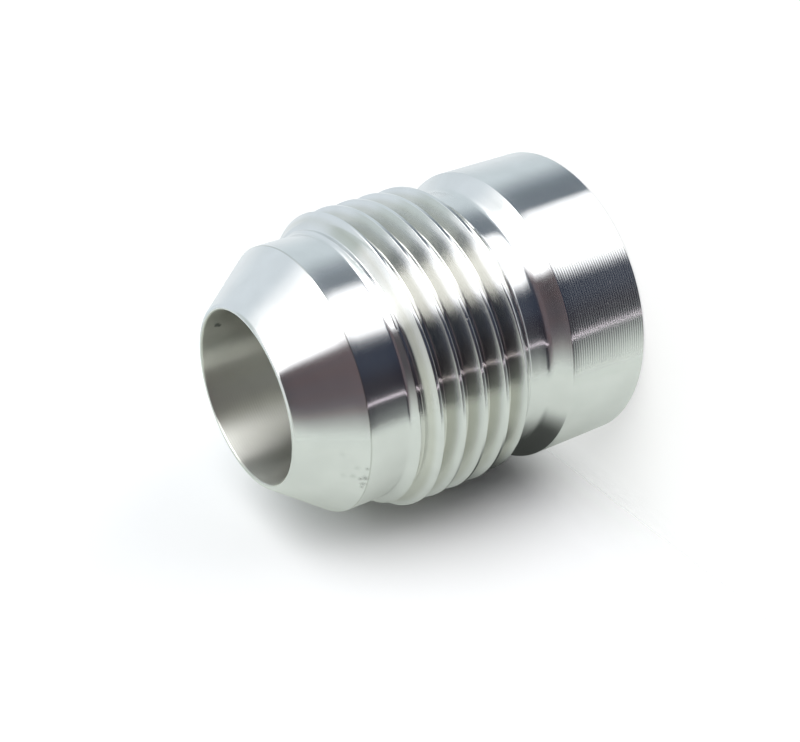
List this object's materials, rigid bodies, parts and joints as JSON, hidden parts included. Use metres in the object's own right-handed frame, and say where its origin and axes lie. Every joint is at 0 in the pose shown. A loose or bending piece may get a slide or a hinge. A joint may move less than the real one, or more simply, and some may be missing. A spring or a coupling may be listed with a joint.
{
  "type": "weld on bung",
  "caption": "Turned weld on bung with a flare nose, a threaded barrel, a relief groove and a plain collar that is welded into a tank or pipe wall.",
  "frame": {"origin": "centre of the weld face, which the bung stands on", "axes": "+Z along the bore axis, from the weld face to the flare nose"},
  "size_m": [0.0222, 0.0222, 0.0268],
  "materials": {
    "turned_aluminium": "bright, as turned"
  },
  "bodies": {
    "root": {"weld_bung": "turned_aluminium"}
  },
  "joints": []
}
